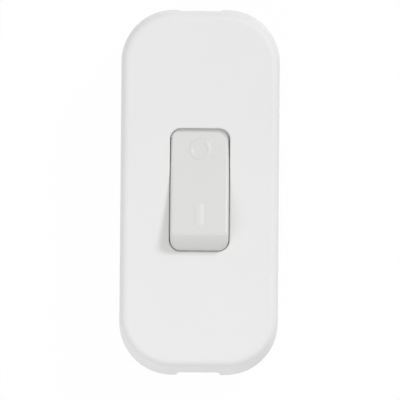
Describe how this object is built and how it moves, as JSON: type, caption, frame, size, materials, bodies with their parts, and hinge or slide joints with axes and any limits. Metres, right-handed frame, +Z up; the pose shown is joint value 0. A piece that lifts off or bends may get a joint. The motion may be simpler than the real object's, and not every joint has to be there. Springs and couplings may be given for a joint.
{
  "type": "inline rocker switch",
  "caption": "Oblong two-part plastic cord switch with rounded ends, a see-saw rocker in the face and a cord inlet at each end; it switches a lamp's supply on and off.",
  "frame": {"origin": "centre of the flat resting face underneath", "axes": "+X across the switch, +Y along the cord towards the lamp, +Z up out of the rocker's face"},
  "size_m": [0.0294, 0.068, 0.0224],
  "materials": {
    "housing_plastic": "smooth white, fine satin gloss",
    "rocker_plastic": "smooth pale grey-white gloss",
    "clamp_plastic": "plain moulded",
    "plunger_plastic": "plain moulded nylon",
    "brass": "plain stamped brass",
    "contact_silver": "plain silver alloy",
    "plated_steel": "zinc-plated steel",
    "spring_steel": "bright spring wire"
  },
  "bodies": {
    "housing": {"upper_housing": "housing_plastic", "lower_housing": "housing_plastic", "housing_screws": "plated_steel", "supply_cord_clamp": "clamp_plastic", "lamp_cord_clamp": "clamp_plastic", "clamp_screws": "plated_steel", "terminal_screws": "plated_steel", "supply_terminal_left": "brass", "supply_terminal_right": "brass", "lamp_terminal_left": "brass", "lamp_terminal_right": "brass", "fixed_contact_left": "contact_silver", "fixed_contact_right": "contact_silver"},
    "rocker": {"rocker": "rocker_plastic", "plunger_spring_left": "spring_steel", "plunger_spring_right": "spring_steel"},
    "plunger_left": {"plunger_left": "plunger_plastic"},
    "plunger_right": {"plunger_right": "plunger_plastic"},
    "blade_left": {"see_saw_blade_left": "brass", "moving_contact_left": "contact_silver"},
    "blade_right": {"see_saw_blade_right": "brass", "moving_contact_right": "contact_silver"}
  },
  "joints": [
    {"name": "rocker_tilt", "type": "hinge", "parent": "housing", "child": "rocker", "pos_m": [0, 0, 0.0164], "axis": [1, 0, 0], "range_deg": [0, 20]},
    {"name": "plunger_left_slide", "type": "slide", "parent": "rocker", "child": "plunger_left", "axis": [0, 0.1736, 0.9848], "range_m": [0, 0.0006], "stiffness_N_per_m": 300, "springref_m": -0.002, "deforming": ["plunger_spring_left"]},
    {"name": "plunger_right_slide", "type": "slide", "parent": "rocker", "child": "plunger_right", "axis": [0, 0.1736, 0.9848], "range_m": [0, 0.0006], "stiffness_N_per_m": 300, "springref_m": -0.002, "deforming": ["plunger_spring_right"]},
    {"name": "blade_left_tilt", "type": "hinge", "parent": "housing", "child": "blade_left", "pos_m": [-0.0032, 0, 0.008], "axis": [1, 0, 0], "range_deg": [-18, 0]},
    {"name": "blade_right_tilt", "type": "hinge", "parent": "housing", "child": "blade_right", "pos_m": [0.0032, 0, 0.008], "axis": [1, 0, 0], "range_deg": [-18, 0]}
  ],
  "couplings": [
    {"joint": "blade_left_tilt", "follows": "rocker_tilt", "ratio": -0.9},
    {"joint": "blade_right_tilt", "follows": "rocker_tilt", "ratio": -0.9}
  ]
}
